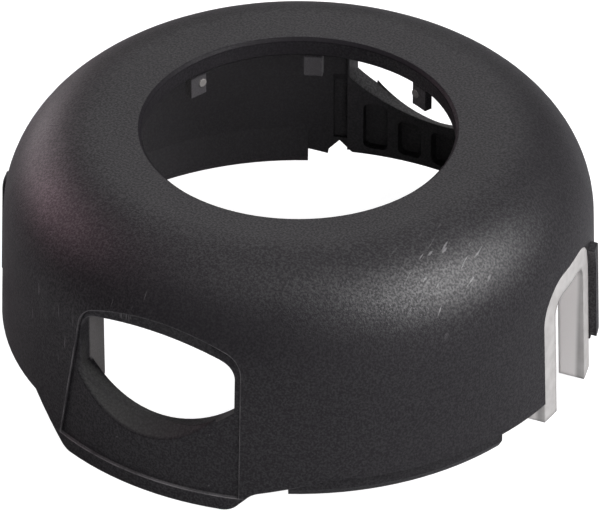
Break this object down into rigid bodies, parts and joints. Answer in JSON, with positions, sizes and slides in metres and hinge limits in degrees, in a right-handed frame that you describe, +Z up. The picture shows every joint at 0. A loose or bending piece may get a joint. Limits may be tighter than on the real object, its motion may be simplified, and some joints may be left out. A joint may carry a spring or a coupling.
{
  "type": "trimmer spool cover",
  "caption": "Bowl-shaped moulded spool cover for a line trimmer head, with a round knob hole, scooped thumb windows and metal line eyelets.",
  "frame": {"origin": "on the cover's axis, in the plane of its lowest edge", "axes": "+Z up along the axis towards the knob hole, -Y through the middle of one thumb window"},
  "size_m": [0.1172, 0.118, 0.05],
  "materials": {
    "cover": "satin moulded grain",
    "eyelet": "matte cast"
  },
  "bodies": {
    "root": {"spool_cover": "cover", "line_eyelet_a": "eyelet", "line_eyelet_b": "eyelet"}
  },
  "joints": []
}
